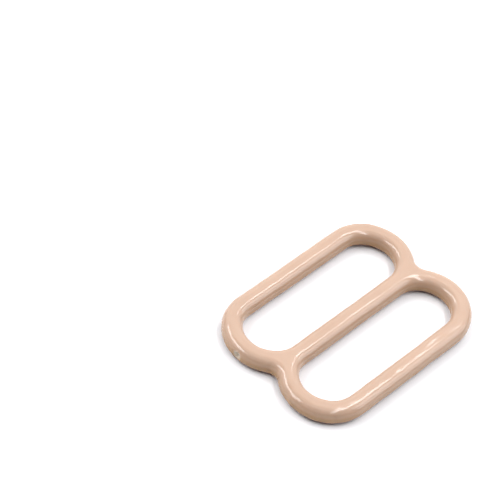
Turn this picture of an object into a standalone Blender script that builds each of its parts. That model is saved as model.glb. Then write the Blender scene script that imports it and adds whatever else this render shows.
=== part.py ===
"""A two-loop strap slider for lingerie: a stamped steel core inside a glossy nylon coating.

The slider lies flat on z = 0. +X runs along its bars, +Y across them, in the direction of the strap,
and the origin is on the underside, at the middle of the middle bar. Units are metres.
"""

from math import atan2, cos, pi, radians, sin, sqrt

import bmesh
import bpy
from mathutils import Matrix, Vector

# Driving dimensions, over the coating.
STRAP_WIDTH = 0.0120
OPENING_HEIGHT = 0.00345
BAR_WIDTH = 0.00127
THICKNESS = 0.0012
EDGE_RADIUS = 0.42 * THICKNESS
WAIST_FILLET = 0.00075

# The coating, and the film of primer that holds it to the core.
COAT_THICKNESS = 0.0002
PRIMER_GAP = 0.00001

# The small bare spot that the coating rack leaves, on the outer side of one loop's end.
MARK_HEIGHT = THICKNESS / 2
MARK_RADIUS_AT_CORE = 0.0001
MARK_RADIUS_AT_SKIN = 0.0002
MARK_OVERSHOOT = 0.00008

# How finely round shapes are cut into flat facets.
END_STEPS = 16
FILLET_STEPS = 6
STRAIGHT_STEPS = 6
SKIN_EDGE_STEPS = 5
CORE_EDGE_STEPS = 3
MARK_STEPS = 16
SHARP_ANGLE = radians(35)

# Worked out from the dimensions above.
OPENING_RADIUS = OPENING_HEIGHT / 2
OUTER_RADIUS = OPENING_RADIUS + BAR_WIDTH
END_X = STRAP_WIDTH / 2 - OPENING_RADIUS
LOOP_Y = (OPENING_HEIGHT + BAR_WIDTH) / 2
WAIST_X = END_X + sqrt((OUTER_RADIUS + WAIST_FILLET) ** 2 - LOOP_Y**2)
WAIST_ANGLE = atan2(LOOP_Y, WAIST_X - END_X)


def arc(centre, radius, start, end, steps):
    """Points along an arc, both ends included."""
    angles = [start + (end - start) * i / steps for i in range(steps + 1)]
    return [Vector((centre[0] + radius * cos(a), centre[1] + radius * sin(a))) for a in angles]


def closed_outline(arcs):
    """Joins arcs into a closed outline, with points spaced along each straight run between two of them."""
    points = []
    for stretch, after in zip(arcs, arcs[1:] + arcs[:1]):
        points += stretch
        gap = (after[0] - stretch[-1]).length
        if gap > BAR_WIDTH:
            points += [stretch[-1].lerp(after[0], i / STRAIGHT_STEPS) for i in range(1, STRAIGHT_STEPS)]
        else:
            points.pop()
    return points


def outer_outline(inset):
    """The slider's outer outline, anticlockwise: four round ends, and a fillet at each waist."""
    radius = OUTER_RADIUS - inset
    fillet = WAIST_FILLET + inset
    quarter = END_STEPS // 2
    rest = round(END_STEPS * WAIST_ANGLE / pi)
    return closed_outline(
        [
            arc((END_X, -LOOP_Y), radius, -pi / 2, 0, quarter),
            arc((END_X, -LOOP_Y), radius, 0, WAIST_ANGLE, rest),
            arc((WAIST_X, 0), fillet, pi + WAIST_ANGLE, pi - WAIST_ANGLE, FILLET_STEPS),
            arc((END_X, LOOP_Y), radius, -WAIST_ANGLE, 0, rest),
            arc((END_X, LOOP_Y), radius, 0, pi / 2, quarter),
            arc((-END_X, LOOP_Y), radius, pi / 2, pi, quarter),
            arc((-END_X, LOOP_Y), radius, pi, pi + WAIST_ANGLE, rest),
            arc((-WAIST_X, 0), fillet, WAIST_ANGLE, -WAIST_ANGLE, FILLET_STEPS),
            arc((-END_X, -LOOP_Y), radius, pi - WAIST_ANGLE, pi, rest),
            arc((-END_X, -LOOP_Y), radius, pi, 1.5 * pi, quarter),
        ]
    )


def opening_outline(inset, side):
    """One strap opening, clockwise, so that its wall faces into the hole. side is -1 or 1."""
    radius = OPENING_RADIUS + inset
    return closed_outline(
        [
            arc((END_X, side * LOOP_Y), radius, pi / 2, -pi / 2, END_STEPS),
            arc((-END_X, side * LOOP_Y), radius, -pi / 2, -1.5 * pi, END_STEPS),
        ]
    )


def edge_profile(inset, steps):
    """(depth, height) pairs from the underside's flat to the top's flat, round a bar's rounded side."""
    radius = EDGE_RADIUS - inset
    turns = [0.5 * pi * i / steps for i in range(steps + 1)]
    lower = [(radius * (1 - sin(a)), inset + radius * (1 - cos(a))) for a in turns]
    upper = [(depth, THICKNESS - height) for depth, height in reversed(lower)]
    return lower + upper


def lower_opening(inset):
    return opening_outline(inset, -1)


def upper_opening(inset):
    return opening_outline(inset, 1)


def wall(mesh, outline, inset, steps):
    """Builds one wall from rings of points, and returns the edges of its lowest and its highest ring."""
    rings = []
    for depth, height in edge_profile(inset, steps):
        rings.append([mesh.verts.new((*point, height)) for point in outline(inset + depth)])
    for low, high in zip(rings, rings[1:]):
        for i, corner in enumerate(low):
            mesh.faces.new((low[i - 1], corner, high[i], high[i - 1]))
    rims = []
    for ring in (rings[0], rings[-1]):
        rims.append([mesh.edges.get((ring[i - 1], corner)) for i, corner in enumerate(ring)])
    return rims


def rounded_plate(name, inset, steps):
    """The slider's solid, moved in from the coated surface by inset, as an object."""
    mesh = bmesh.new()
    walls = [wall(mesh, outline, inset, steps) for outline in (outer_outline, lower_opening, upper_opening)]
    for rims in zip(*walls):
        bmesh.ops.triangle_fill(mesh, edges=[edge for rim in rims for edge in rim], use_beauty=True)
    bmesh.ops.recalc_face_normals(mesh, faces=mesh.faces)
    return new_object(name, mesh)


def new_object(name, mesh):
    """Turns a bmesh into an object in the scene."""
    data = bpy.data.meshes.new(name)
    mesh.to_mesh(data)
    mesh.free()
    made = bpy.data.objects.new(name, data)
    bpy.context.collection.objects.link(made)
    return made


def rack_mark_cutter():
    """A small cone that opens the coating down to the core, wide at the skin."""
    inner = OUTER_RADIUS - COAT_THICKNESS - MARK_OVERSHOOT
    outer = OUTER_RADIUS + MARK_OVERSHOOT
    slope = (MARK_RADIUS_AT_SKIN - MARK_RADIUS_AT_CORE) / COAT_THICKNESS
    mesh = bmesh.new()
    bmesh.ops.create_cone(
        mesh,
        cap_ends=True,
        segments=MARK_STEPS,
        radius1=MARK_RADIUS_AT_CORE - slope * MARK_OVERSHOOT,
        radius2=MARK_RADIUS_AT_SKIN + slope * MARK_OVERSHOOT,
        depth=outer - inner,
        matrix=Matrix.Translation((0, 0, (inner + outer) / 2)),
    )
    made = new_object("rack_mark_cutter", mesh)
    made.location = (-END_X, LOOP_Y, MARK_HEIGHT)
    made.rotation_euler = (0, -pi / 2, 0)
    return made


def cut(made, cutter):
    """Takes a hidden cutter out of an object."""
    cutter.hide_render = True
    cutter.display_type = "WIRE"
    boolean = made.modifiers.new(cutter.name, "BOOLEAN")
    boolean.operation = "DIFFERENCE"
    boolean.solver = "EXACT"
    boolean.object = cutter


def finish(made, colour, roughness, metallic):
    """Gives an object its material and smooth round sides."""
    material = bpy.data.materials.new(made.name)
    material.use_nodes = True
    shader = material.node_tree.nodes["Principled BSDF"]
    shader.inputs["Base Color"].default_value = (*colour, 1)
    shader.inputs["Roughness"].default_value = roughness
    shader.inputs["Metallic"].default_value = metallic
    made.data.materials.append(material)
    made.data.shade_smooth()
    made.data.set_sharp_from_angle(angle=SHARP_ANGLE)


def metal_core():
    """The stamped steel figure of eight that carries the load."""
    core = rounded_plate("metal_core", COAT_THICKNESS + PRIMER_GAP, CORE_EDGE_STEPS)
    finish(core, (0.50, 0.49, 0.47), 0.35, 1.0)


def nylon_coating():
    """The nude nylon skin all round the core, open only at the rack mark."""
    coating = rounded_plate("nylon_coating", 0, SKIN_EDGE_STEPS)
    cut(coating, rounded_plate("core_space_cutter", COAT_THICKNESS, CORE_EDGE_STEPS))
    cut(coating, rack_mark_cutter())
    finish(coating, (0.83, 0.58, 0.46), 0.22, 0.0)


def main():
    for old in list(bpy.data.objects):
        bpy.data.objects.remove(old)
    metal_core()
    nylon_coating()


main()
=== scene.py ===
"""The looks of a nylon-coated lingerie strap slider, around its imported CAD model. Lengths are in metres."""

from math import atan2, cos, pi, radians, sin, sqrt

import bpy
import numpy as np
from mathutils import Matrix, Vector


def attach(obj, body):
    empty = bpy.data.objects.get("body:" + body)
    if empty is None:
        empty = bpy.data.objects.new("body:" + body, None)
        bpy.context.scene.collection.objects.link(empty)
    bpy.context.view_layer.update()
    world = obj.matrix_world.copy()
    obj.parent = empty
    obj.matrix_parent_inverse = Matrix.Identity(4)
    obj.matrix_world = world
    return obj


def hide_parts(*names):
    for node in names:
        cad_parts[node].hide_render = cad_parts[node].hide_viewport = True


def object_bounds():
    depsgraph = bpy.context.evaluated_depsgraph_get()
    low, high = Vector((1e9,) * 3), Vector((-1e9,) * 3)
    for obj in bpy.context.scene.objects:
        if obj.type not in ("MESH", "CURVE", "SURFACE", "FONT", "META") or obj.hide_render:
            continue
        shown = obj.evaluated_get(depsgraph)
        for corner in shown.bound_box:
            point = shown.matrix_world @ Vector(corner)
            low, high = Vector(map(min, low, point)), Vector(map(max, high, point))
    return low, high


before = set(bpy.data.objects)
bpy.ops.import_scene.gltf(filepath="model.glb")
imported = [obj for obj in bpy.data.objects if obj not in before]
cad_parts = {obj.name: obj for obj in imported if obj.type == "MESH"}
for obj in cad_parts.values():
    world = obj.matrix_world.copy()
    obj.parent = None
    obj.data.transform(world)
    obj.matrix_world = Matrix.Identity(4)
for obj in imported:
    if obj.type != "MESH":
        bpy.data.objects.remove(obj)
CAD_BOX = [list(corner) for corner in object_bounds()]

MM = 0.001

# The slider's own dimensions. The bars' width and the openings' height follow from the CAD model's box.
STRAP_WIDTH = 12 * MM
BOX_X, BOX_Y, THICKNESS = [high - low for low, high in zip(*CAD_BOX)]
BAR_WIDTH = (BOX_X - STRAP_WIDTH) / 2
OPENING_RADIUS = (BOX_Y - 3 * BAR_WIDTH) / 4
OUTER_RADIUS = OPENING_RADIUS + BAR_WIDTH
EDGE_RADIUS = 0.42 * THICKNESS
WAIST_FILLET = 0.75 * MM
END_X = STRAP_WIDTH / 2 - OPENING_RADIUS
LOOP_Y = OPENING_RADIUS + BAR_WIDTH / 2
WAIST_X = END_X + sqrt((OUTER_RADIUS + WAIST_FILLET) ** 2 - LOOP_Y**2)
WAIST_ANGLE = atan2(LOOP_Y, WAIST_X - END_X)

# The coating: its thickness, the gap that its primer fills, and the mark of the coating rack at one loop's
# end, a dish that opens onto the core and has a faint lip round it.
COAT_THICKNESS = 0.2 * MM
PRIMER_GAP = 0.01 * MM
MARK_PLACE = (-END_X - OUTER_RADIUS, LOOP_Y, THICKNESS / 2)
MARK_RADIUS_AT_SKIN = 0.27 * MM
MARK_RADIUS_AT_CORE = 0.07 * MM
MARK_DEPTH = 0.25 * MM
MARK_ROUNDING = 0.16 * MM
MARK_LIP_RADIUS = 0.36 * MM
MARK_LIP_WIDTH = 0.10 * MM
MARK_LIP_HEIGHT = 0.010 * MM
WELL_BEYOND_MARK = 1 * MM

# How finely the skin is meshed, and how its points settle onto its exact surface.
SKIN_VOXEL = 0.07 * MM
SETTLE_ROUNDS = 4
SETTLE_STEPS = 3
LARGEST_STEP = 0.03 * MM
LEAST_STEEPNESS = 0.25
PROBE = 0.002 * MM
WELD_DISTANCE = 0.002 * MM
SHARP_ANGLE = radians(60)

# Orange peel: (number of waves, shortest and longest wavelength, slope of each wave). It is calmer on the
# flats, and rougher round one end of the loop that has no rack mark.
PEEL_BANDS = (
    (36, 0.6 * MM, 1.4 * MM, 0.005),
    (14, 1.8 * MM, 4.5 * MM, 0.0055),
)
PEEL_SEED = 11
CALM_SHARE = 0.5
CALM_WIDTH = 0.15 * MM
ROUGH_PLACE = (-END_X - OUTER_RADIUS, -LOOP_Y, THICKNESS)
ROUGH_REACH = 1.4 * MM
ROUGH_GAIN = 2.3

# The nylon's finish, with painted shade down the walls and at their foot, and painted light round the rack
# mark.
# Each range says at what height above the underside, or at what distance from the rack mark, a colour starts,
# and at what it is full.
NUDE = (0.463, 0.312, 0.230)
NUDE_LIGHTER = (0.482, 0.326, 0.241)
MOTTLE_SIZE = 2.2 * MM
GRAIN_COLOUR = (0.52, 0.37, 0.28)
GRAIN_SIZE = 0.05 * MM
GRAIN_SHARE = 0.25
# Painted shade: from this height down, the walls are browner and darker than the top.
WALL_SHADE_BROWN = (0.375, 0.208, 0.092)
WALL_SHADE_RANGE = (1.04 * MM, 0.64 * MM)
# Painted shadow: a dark red-brown band at the walls' foot, where they meet the floor.
FOOT_SHADOW_BROWN = (0.22, 0.085, 0.055)
FOOT_SHADOW_RANGE = (0.4 * MM, 0.12 * MM)
UNDERSIDE_RANGE = (0.08 * MM, 0.03 * MM)
# Partly the paler thin nylon round the rack mark, and partly painted light that lifts the shade in its dish.
THIN_NYLON_AND_LIGHT = (0.60, 0.53, 0.43)
THIN_AND_LIGHT_RANGE = (0.34 * MM, 0.16 * MM)
NYLON_PATCH_SIZE = 0.5 * MM
RIPPLE_SIZE = 0.22 * MM
RIPPLE_DEPTH = 0.003 * MM

# The core's finish.
STEEL_DARK = (0.66, 0.65, 0.62)
STEEL_LIGHT = (0.80, 0.79, 0.76)
STEEL_GRAIN_SIZE = 0.03 * MM
STEEL_PATCH_SIZE = 0.08 * MM
PIT_SIZE = 0.02 * MM
PIT_DEPTH = 0.001 * MM

FLOOR_WHITE = (0.88, 0.89, 0.92)
FLOOR_SIZE = 3.0

# The camera looks at AIM_POINT from this far, high and far round, and is rolled about its line of sight.
AIM_POINT = (-0.74 * MM, 7.63 * MM, THICKNESS / 2)
CAMERA_DISTANCE = 146.7 * MM
CAMERA_AZIMUTH = radians(55.34)
CAMERA_ELEVATION = radians(48.16)
CAMERA_ROLL = radians(13.13)
CAMERA_LENS = 172.44
CAMERA_NEAREST = 10 * MM
CAMERA_FARTHEST = 10.0

# The light. Each softbox is given by the directions of its two ends from the slider, seen from the camera's
# side (right, away, up), then by its width and brightness. A white surface lit by the tent alone has the
# tent's brightness.
TENT_BRIGHTNESS = 0.05
SOFTBOX_DISTANCE = 0.4
SOFTBOXES = (
    ("softbox_back", (-0.81, 0.43, 0.41), (0.70, 0.62, 0.35), 0.28, 1.4),
    ("softbox_left", (-0.65, 0.41, 0.64), (-0.53, -0.41, 0.74), 0.12, 6.9),
    ("softbox_low_left", (-0.85, 0.40, 0.40), (-0.78, -0.35, 0.50), 0.24, 1.05),
    ("softbox_right", (0.53, 0.45, 0.72), (0.69, -0.06, 0.72), 0.13, 3.8),
    ("softbox_low_right", (0.77, 0.48, 0.41), (0.89, -0.19, 0.41), 0.13, 3.2),
    ("softbox_top", (0.35, -0.05, 0.94), (-0.35, -0.05, 0.94), 0.30, 0.91),
    ("strip_right", (0.135, 0.63, 0.77), (0.32, -0.55, 0.77), 0.038, 9.8),
)


# ---------------------------------------------------------------- the shape, as a signed distance


def capsule(x, y, radius):
    """Distance from a loop's straight centre line, less a radius. x and y are folded to be positive."""
    return np.hypot(np.maximum(x - END_X, 0), y - LOOP_Y) - radius


def outline_distance(x, y):
    """Signed distance in the plane from the figure of eight's outlines, negative in the bars."""
    x = np.abs(x)
    y = np.abs(y)
    lobe = capsule(x, y, OUTER_RADIUS)
    from_waist = np.hypot(x - WAIST_X, y)
    in_waist = (y < LOOP_Y) & (np.arctan2(y, WAIST_X - x) < WAIST_ANGLE)
    outer = np.where(in_waist, WAIST_FILLET - from_waist, lobe)
    return np.maximum(outer, -capsule(x, y, OPENING_RADIUS))


def plate_distance(across, height):
    """Signed distance from the smooth surface. across grows from zero where the edges start to turn."""
    up = np.abs(height - THICKNESS / 2) - THICKNESS / 2 + EDGE_RADIUS
    outside = np.hypot(np.maximum(across, 0), np.maximum(up, 0))
    return outside + np.minimum(np.maximum(across, up), 0) - EDGE_RADIUS


def peel_waves():
    """Wave vectors, phases and heights of the orange peel, the same each run."""
    random = np.random.default_rng(PEEL_SEED)
    vectors, phases, heights = [], [], []
    for count, shortest, longest, slope in PEEL_BANDS:
        directions = random.normal(size=(count, 3))
        directions /= np.linalg.norm(directions, axis=1, keepdims=True)
        numbers = 2 * pi / random.uniform(shortest, longest, size=count)
        vectors.append(directions * numbers[:, None])
        phases.append(random.uniform(0, 2 * pi, size=count))
        heights.append(slope / numbers)
    return np.concatenate(vectors), np.concatenate(phases), np.concatenate(heights)


PEEL_VECTORS, PEEL_PHASES, PEEL_HEIGHTS = peel_waves()


def peel(points, across):
    """How far the skin stands proud of its smooth surface. Its lumps fade out towards the underside."""
    height = np.sin(points @ PEEL_VECTORS.T + PEEL_PHASES) @ PEEL_HEIGHTS
    height *= CALM_SHARE + (1 - CALM_SHARE) * np.clip(0.5 + across / CALM_WIDTH, 0, 1)
    from_rough = np.linalg.norm(points - ROUGH_PLACE, axis=1)
    height *= 1 + ROUGH_GAIN * np.exp(-((from_rough / ROUGH_REACH) ** 2))
    return np.where(height > 0, height * np.clip(points[:, 2] / EDGE_RADIUS, 0, 1), height)


def from_mark_axis(points):
    """Distance from the axis of the rack mark's dish, which keeps to its own side of the bar."""
    mark_x, mark_y, mark_z = MARK_PLACE
    aside = np.hypot(points[:, 1] - mark_y, points[:, 2] - mark_z)
    return np.where(points[:, 0] < mark_x + BAR_WIDTH / 2, aside, WELL_BEYOND_MARK)


def rounded_max(first, second, rounding):
    """The larger of two distances, with the corner between their surfaces rounded."""
    share = np.clip(0.5 + 0.5 * (first - second) / rounding, 0, 1)
    return second + share * (first - second) + rounding * share * (1 - share)


def coating_distance(points):
    """Signed distance from the coating's outside: the peel, and the rack mark's lip and dish."""
    across = outline_distance(points[:, 0], points[:, 1]) + EDGE_RADIUS
    smooth = plate_distance(across, points[:, 2])
    aside = from_mark_axis(points)
    lip = MARK_LIP_HEIGHT * np.exp(-(((aside - MARK_LIP_RADIUS) / MARK_LIP_WIDTH) ** 2))
    skin = smooth - peel(points, across) - lip
    depth = np.clip(-smooth / COAT_THICKNESS, 0, 1)
    dish = MARK_RADIUS_AT_SKIN + depth * (MARK_RADIUS_AT_CORE - MARK_RADIUS_AT_SKIN) - aside
    dish = np.minimum(dish, smooth + MARK_DEPTH)
    return rounded_max(skin, dish, MARK_ROUNDING)


def gradient(points):
    """The direction in which the coating's distance grows, by central differences."""
    columns = []
    for axis in np.eye(3) * PROBE:
        columns.append((coating_distance(points + axis) - coating_distance(points - axis)) / (2 * PROBE))
    return np.stack(columns, axis=1)


# ---------------------------------------------------------------- meshes


def settled(points, edges):
    """Moves points onto the coating's surface and, after the first round, spreads them evenly over it."""
    counts = np.bincount(edges.ravel(), minlength=len(points))[:, None]
    for turn in range(SETTLE_ROUNDS):
        if turn:
            sums = np.zeros_like(points)
            np.add.at(sums, edges[:, 0], points[edges[:, 1]])
            np.add.at(sums, edges[:, 1], points[edges[:, 0]])
            points = (points + sums / counts) / 2
        for _ in range(SETTLE_STEPS):
            slope = gradient(points)
            steepness = np.maximum((slope**2).sum(axis=1), LEAST_STEEPNESS)
            step = coating_distance(points) / steepness
            points = points - np.clip(step, -LARGEST_STEP, LARGEST_STEP)[:, None] * slope
    return points


def node_copy(node, name):
    """A new object with a copy of a CAD node's mesh."""
    made = bpy.data.objects.new(name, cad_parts[node].data.copy())
    bpy.context.scene.collection.objects.link(made)
    return made


def apply_modifiers(made):
    """Turns what an object's modifiers make of it into its own mesh."""
    result = bpy.data.meshes.new_from_object(made.evaluated_get(bpy.context.evaluated_depsgraph_get()))
    made.modifiers.clear()
    made.data = result
    return result


def hollow_out(skin):
    """Takes the space of the core and its primer out of the skin, which opens it at the rack mark."""
    space = node_copy("metal_core", "core_space")
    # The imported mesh's faces have their own corners, so they are joined up before they grow apart.
    space.modifiers.new("weld", "WELD").merge_threshold = WELD_DISTANCE
    grown = space.modifiers.new("gap", "DISPLACE")
    grown.strength = PRIMER_GAP
    grown.mid_level = 0
    apply_modifiers(space)
    cut = skin.modifiers.new("hollow", "BOOLEAN")
    cut.operation = "DIFFERENCE"
    cut.solver = "MANIFOLD"
    cut.object = space
    apply_modifiers(skin)
    bpy.data.objects.remove(space)


def skin_mesh():
    """The coating's fine mesh: its CAD node remeshed, settled onto the exact surface and hollowed out."""
    made = node_copy("nylon_coating", "coating_skin")
    remesh = made.modifiers.new("fine", "REMESH")
    remesh.mode = "VOXEL"
    remesh.voxel_size = SKIN_VOXEL
    fine = apply_modifiers(made)
    points = np.empty(len(fine.vertices) * 3)
    fine.vertices.foreach_get("co", points)
    edges = np.empty(len(fine.edges) * 2, dtype=np.int32)
    fine.edges.foreach_get("vertices", edges)
    points = settled(points.reshape(-1, 3), edges.reshape(-1, 2))
    fine.vertices.foreach_set("co", points.ravel())
    fine.update()
    hollow_out(made)
    made.data.shade_smooth()
    made.data.set_sharp_from_angle(angle=SHARP_ANGLE)
    return made


# ---------------------------------------------------------------- materials


class Nodes:
    """Short ways to build one material's node tree."""

    def __init__(self, name):
        self.material = bpy.data.materials.new(name)
        self.material.use_nodes = True
        self.tree = self.material.node_tree
        self.shader = self.tree.nodes["Principled BSDF"]
        self.where = self.tree.nodes.new("ShaderNodeTexCoord").outputs["Object"]

    def join(self, source, target):
        """Links one node's output to another node's input."""
        self.tree.links.new(source, target)

    def noise(self, size, detail=2, roughness=0.5):
        """Noise whose lumps are about this many metres across."""
        node = self.tree.nodes.new("ShaderNodeTexNoise")
        node.inputs["Scale"].default_value = 1 / size
        node.inputs["Detail"].default_value = detail
        node.inputs["Roughness"].default_value = roughness
        self.join(self.where, node.inputs["Vector"])
        return node.outputs["Fac"]

    def height(self):
        """How high above the underside, in metres."""
        node = self.tree.nodes.new("ShaderNodeSeparateXYZ")
        self.join(self.where, node.inputs["Vector"])
        return node.outputs["Z"]

    def from_mark(self):
        """How far from the rack mark, in metres."""
        node = self.tree.nodes.new("ShaderNodeVectorMath")
        node.operation = "DISTANCE"
        node.inputs[1].default_value = MARK_PLACE
        self.join(self.where, node.inputs[0])
        return node.outputs["Value"]

    def spread(self, source, low, high, to_low=0.0, to_high=1.0):
        """Maps a value from one range onto another, and holds it at that one's ends."""
        node = self.tree.nodes.new("ShaderNodeMapRange")
        for socket, value in zip(node.inputs[1:5], (low, high, to_low, to_high)):
            socket.default_value = value
        self.join(source, node.inputs["Value"])
        return node.outputs["Result"]

    def mix(self, share, first, second):
        """Mixes two colours. Each is a socket or three numbers."""
        node = self.tree.nodes.new("ShaderNodeMix")
        node.data_type = "RGBA"
        self.join(share, node.inputs["Factor"])
        # The node has sockets for every type of data. Its two colours go into 6 and 7 and come out of 2.
        for socket, colour in zip(node.inputs[6:8], (first, second)):
            if isinstance(colour, tuple):
                socket.default_value = (*colour, 1)
            else:
                self.join(colour, socket)
        return node.outputs[2]

    def bump(self, height, distance):
        """Turns a height from 0 to 1 into a normal, for bumps as deep as the distance."""
        node = self.tree.nodes.new("ShaderNodeBump")
        node.inputs["Distance"].default_value = distance
        self.join(height, node.inputs["Height"])
        return node.outputs["Normal"]

    def drive(self, **sources):
        """Links outputs to the shader's own sockets, named with underscores for spaces."""
        for name, source in sources.items():
            self.join(source, self.shader.inputs[name.replace("_", " ")])

    def set(self, **values):
        """Sets the shader's own sockets, named with underscores for spaces."""
        for name, value in values.items():
            self.shader.inputs[name.replace("_", " ")].default_value = value


def nylon():
    """Glossy nude nylon with a soft mottle and fine pigment grain, its roughness varying a little.

    Shade is painted into it: it is browner and darker down the walls, and a painted shadow darkens their
    foot.
    It has the top's colour on the underside, and is pale where it thins round the rack mark, a paleness that
    also paints light into the mark's shaded dish.
    """
    made = Nodes("coating_nylon")
    mottle = made.spread(made.noise(MOTTLE_SIZE), low=0.35, high=0.65)
    base = made.mix(mottle, NUDE, NUDE_LIGHTER)
    specks = made.noise(GRAIN_SIZE, detail=3, roughness=0.6)
    grain = made.spread(specks, low=0.35, high=0.75, to_high=GRAIN_SHARE)
    top = made.mix(grain, base, GRAIN_COLOUR)
    height = made.height()
    # Painted shade down the walls.
    shaded_wall = made.mix(made.spread(height, *WALL_SHADE_RANGE), top, WALL_SHADE_BROWN)
    # Painted shadow at the walls' foot. The underside then goes back to the top's colour.
    shadowed_foot = made.mix(made.spread(height, *FOOT_SHADOW_RANGE), shaded_wall, FOOT_SHADOW_BROWN)
    colour = made.mix(made.spread(height, *UNDERSIDE_RANGE), shadowed_foot, top)
    # Paler thin nylon round the rack mark, with painted light in its shaded dish.
    colour = made.mix(made.spread(made.from_mark(), *THIN_AND_LIGHT_RANGE), colour, THIN_NYLON_AND_LIGHT)
    patches = made.noise(NYLON_PATCH_SIZE, detail=3)
    roughness = made.spread(patches, low=0.3, high=0.7, to_low=0.10, to_high=0.15)
    ripple = made.bump(made.noise(RIPPLE_SIZE), RIPPLE_DEPTH)
    made.drive(Base_Color=colour, Roughness=roughness, Normal=ripple)
    made.set(IOR=1.53, Subsurface_Weight=0.12)
    made.set(Subsurface_Scale=0.25 * MM, Subsurface_Radius=(1.0, 0.5, 0.35))
    return made.material


def steel():
    """Stamped steel, tumbled dull, in mottled grey. It is seen only in the rack mark."""
    made = Nodes("core_steel")
    tone = made.spread(made.noise(STEEL_GRAIN_SIZE, detail=4, roughness=0.6), low=0.3, high=0.7)
    colour = made.mix(tone, STEEL_DARK, STEEL_LIGHT)
    patches = made.noise(STEEL_PATCH_SIZE, detail=3)
    roughness = made.spread(patches, low=0.3, high=0.7, to_low=0.32, to_high=0.5)
    pits = made.bump(made.noise(PIT_SIZE), PIT_DEPTH)
    made.drive(Base_Color=colour, Roughness=roughness, Normal=pits)
    made.set(Metallic=1.0)
    return made.material


# ---------------------------------------------------------------- stage


def floor():
    """A large white table top."""
    data = bpy.data.meshes.new("floor")
    half = FLOOR_SIZE / 2
    corners = [(-half, -half, 0), (half, -half, 0), (half, half, 0), (-half, half, 0)]
    data.from_pydata(corners, [], [(0, 1, 2, 3)])
    made = bpy.data.objects.new("floor", data)
    bpy.context.scene.collection.objects.link(made)
    white = Nodes("floor_white")
    white.set(Base_Color=(*FLOOR_WHITE, 1), Roughness=0.9, Specular_IOR_Level=0.1)
    data.materials.append(white.material)


def turned(direction):
    """A direction given from the camera's side (right, away, up), as a place at the softboxes' distance."""
    right, away, up = Vector(direction).normalized() * SOFTBOX_DISTANCE
    turn = CAMERA_AZIMUTH
    return Vector((right * cos(turn) + away * sin(turn), away * cos(turn) - right * sin(turn), up))


def softbox(name, start, end, width, brightness):
    """A light facing the slider, seen from it between two directions, and as wide as given."""
    start = turned(start)
    end = turned(end)
    data = bpy.data.lights.new(name, "AREA")
    data.shape = "RECTANGLE"
    data.size = (end - start).length
    data.size_y = width
    data.energy = brightness * pi * data.size * data.size_y
    made = bpy.data.objects.new(name, data)
    bpy.context.scene.collection.objects.link(made)
    place = (start + end) / 2
    along = (end - start).normalized()
    side = place.cross(along).normalized()
    facing = Matrix((along, side, along.cross(side))).transposed()
    made.matrix_world = Matrix.Translation(place) @ facing.to_4x4()
    made.visible_camera = False


def studio():
    """A dim white tent, with the softboxes round the slider."""
    world = bpy.data.worlds.new("tent")
    world.use_nodes = True
    world.node_tree.nodes["Background"].inputs["Color"].default_value = (1, 1, 1, 1)
    world.node_tree.nodes["Background"].inputs["Strength"].default_value = TENT_BRIGHTNESS
    bpy.context.scene.world = world
    for values in SOFTBOXES:
        softbox(*values)


def camera():
    """The camera, in its place and rolled, looking at its aim point."""
    data = bpy.data.cameras.new("camera")
    data.lens = CAMERA_LENS
    data.clip_start = CAMERA_NEAREST
    data.clip_end = CAMERA_FARTHEST
    made = bpy.data.objects.new("camera", data)
    bpy.context.scene.collection.objects.link(made)
    flat = CAMERA_DISTANCE * cos(CAMERA_ELEVATION)
    up = CAMERA_DISTANCE * sin(CAMERA_ELEVATION)
    back = Vector((-flat * sin(CAMERA_AZIMUTH), -flat * cos(CAMERA_AZIMUTH), up))
    facing = (-back).to_track_quat("-Z", "Y").to_matrix() @ Matrix.Rotation(CAMERA_ROLL, 3, "Z")
    made.matrix_world = Matrix.Translation(Vector(AIM_POINT) + back) @ facing.to_4x4()
    bpy.context.scene.camera = made


def main():
    """Makes the skin round the CAD core, gives both their materials, and sets the stage."""
    skin = skin_mesh()
    skin.data.materials.clear()
    skin.data.materials.append(nylon())
    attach(skin, "root")
    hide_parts("nylon_coating")
    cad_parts["metal_core"].material_slots[0].material = steel()
    floor()
    studio()
    camera()
    bpy.context.scene.view_settings.view_transform = "Standard"


main()
